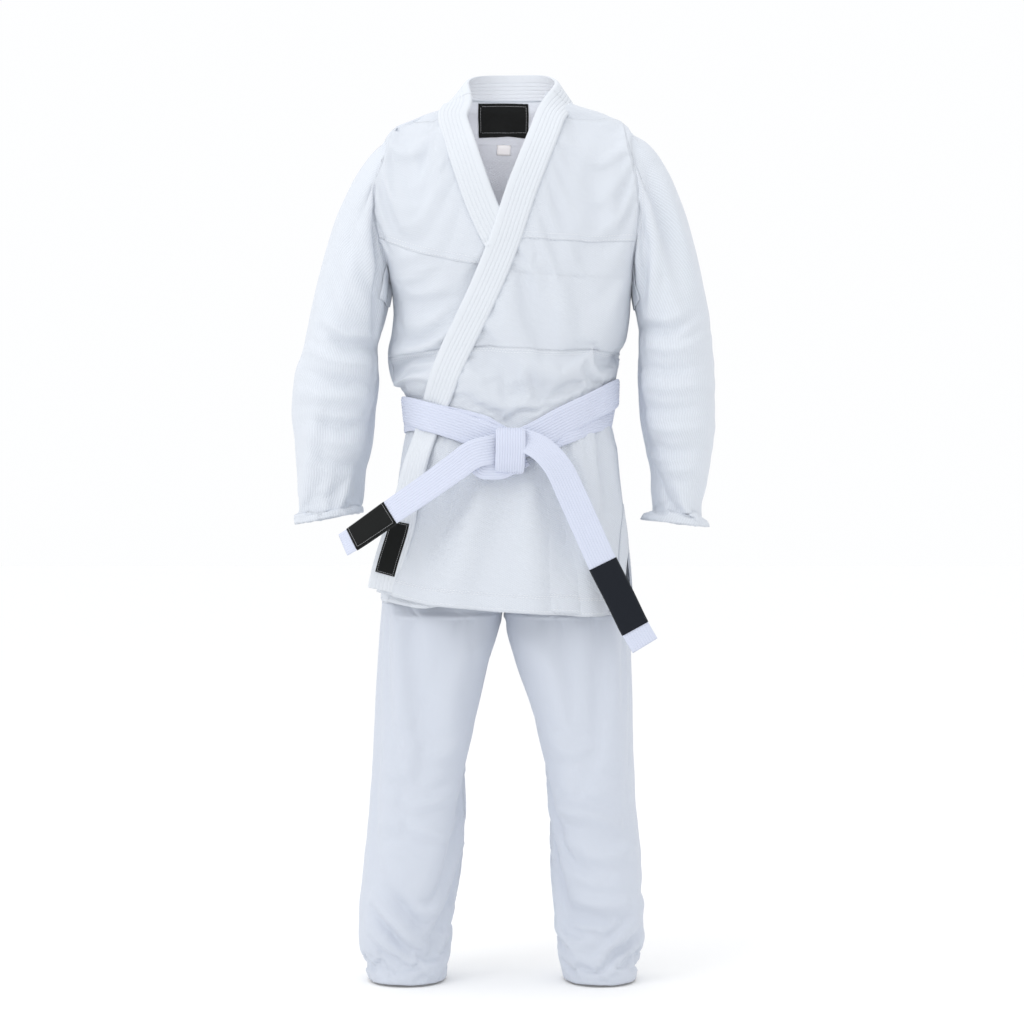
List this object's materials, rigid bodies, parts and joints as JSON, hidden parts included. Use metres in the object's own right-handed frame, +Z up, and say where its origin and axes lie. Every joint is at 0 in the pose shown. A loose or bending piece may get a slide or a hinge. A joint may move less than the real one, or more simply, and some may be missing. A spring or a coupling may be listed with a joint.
{
  "type": "martial arts uniform",
  "caption": "Jiu-jitsu style uniform as worn: woven wrap jacket with padded collar, knotted belt with dark bars, and straight trousers with knee patches.",
  "frame": {"origin": "middle of the trousers' waistband, where the wearer's waist is", "axes": "+Z up, -Y out of the wearer's front, +X to the wearer's left"},
  "size_m": [0.7, 0.3286, 1.447],
  "materials": {
    "jacket_weave": "matte pearl weave",
    "collar_twill": "matte twill with stitch rows",
    "trouser_cloth": "matte twill",
    "belt_cotton": "matte ribbed",
    "bar_black": "matte",
    "patch_black": "matte",
    "tag_white": "matte"
  },
  "bodies": {
    "trousers": {"waistband": "trouser_cloth", "seat_front": "trouser_cloth", "seat_back": "trouser_cloth", "crotch_gusset": "trouser_cloth"},
    "leg_left": {"leg_left": "trouser_cloth", "knee_left": "trouser_cloth", "thigh_left": "trouser_cloth", "knee_patch_left": "trouser_cloth", "hem_left": "trouser_cloth"},
    "leg_right": {"leg_right": "trouser_cloth", "knee_right": "trouser_cloth", "thigh_right": "trouser_cloth", "knee_patch_right": "trouser_cloth", "hem_right": "trouser_cloth"},
    "jacket": {"jacket_back": "jacket_weave", "chest_left": "jacket_weave", "chest_right": "jacket_weave", "skirt_back": "jacket_weave", "skirt_left": "jacket_weave", "skirt_right": "jacket_weave", "lapel_left": "collar_twill", "lapel_right": "collar_twill", "collar_neck": "collar_twill", "neck_label": "patch_black", "size_tag": "tag_white", "lapel_patch": "patch_black", "yoke_left": "jacket_weave", "yoke_right": "jacket_weave", "vent_front_left": "jacket_weave", "vent_back_left": "jacket_weave", "vent_front_right": "jacket_weave", "vent_back_right": "jacket_weave", "belt_inner": "belt_cotton", "belt_outer": "belt_cotton", "belt_knot": "belt_cotton", "knot_loop": "belt_cotton"},
    "sleeve_left": {"sleeve_left": "jacket_weave", "forearm_left": "jacket_weave", "cuff_left": "jacket_weave", "gusset_left": "jacket_weave"},
    "sleeve_right": {"sleeve_right": "jacket_weave", "forearm_right": "jacket_weave", "cuff_right": "jacket_weave", "gusset_right": "jacket_weave"},
    "tail_left": {"tail_left": "belt_cotton", "bar_left": "bar_black"},
    "tail_right": {"tail_right": "belt_cotton", "bar_right": "bar_black"}
  },
  "joints": [
    {"name": "jacket_lift", "type": "slide", "parent": "trousers", "child": "jacket", "axis": [0, 0, 1], "range_m": [0, 0.3]},
    {"name": "leg_left_swing", "type": "hinge", "parent": "trousers", "child": "leg_left", "pos_m": [0.1, 0, -0.15], "axis": [-1, 0, 0], "range_deg": [-10, 6]},
    {"name": "leg_right_swing", "type": "hinge", "parent": "trousers", "child": "leg_right", "pos_m": [-0.1, 0, -0.15], "axis": [-1, 0, 0], "range_deg": [-10, 6]},
    {"name": "sleeve_left_raise", "type": "hinge", "parent": "jacket", "child": "sleeve_left", "pos_m": [0.207, 0.006, 0.474], "axis": [0, -1, 0], "range_deg": [0, 40]},
    {"name": "sleeve_right_raise", "type": "hinge", "parent": "jacket", "child": "sleeve_right", "pos_m": [-0.187, 0.006, 0.474], "axis": [0, 1, 0], "range_deg": [0, 40]},
    {"name": "tail_left_lift", "type": "hinge", "parent": "jacket", "child": "tail_left", "pos_m": [0.062, -0.167, -0.016], "axis": [-1, 0, 0], "range_deg": [0, 60]},
    {"name": "tail_right_lift", "type": "hinge", "parent": "jacket", "child": "tail_right", "pos_m": [-0.028, -0.167, -0.016], "axis": [-1, 0, 0], "range_deg": [0, 60]}
  ]
}
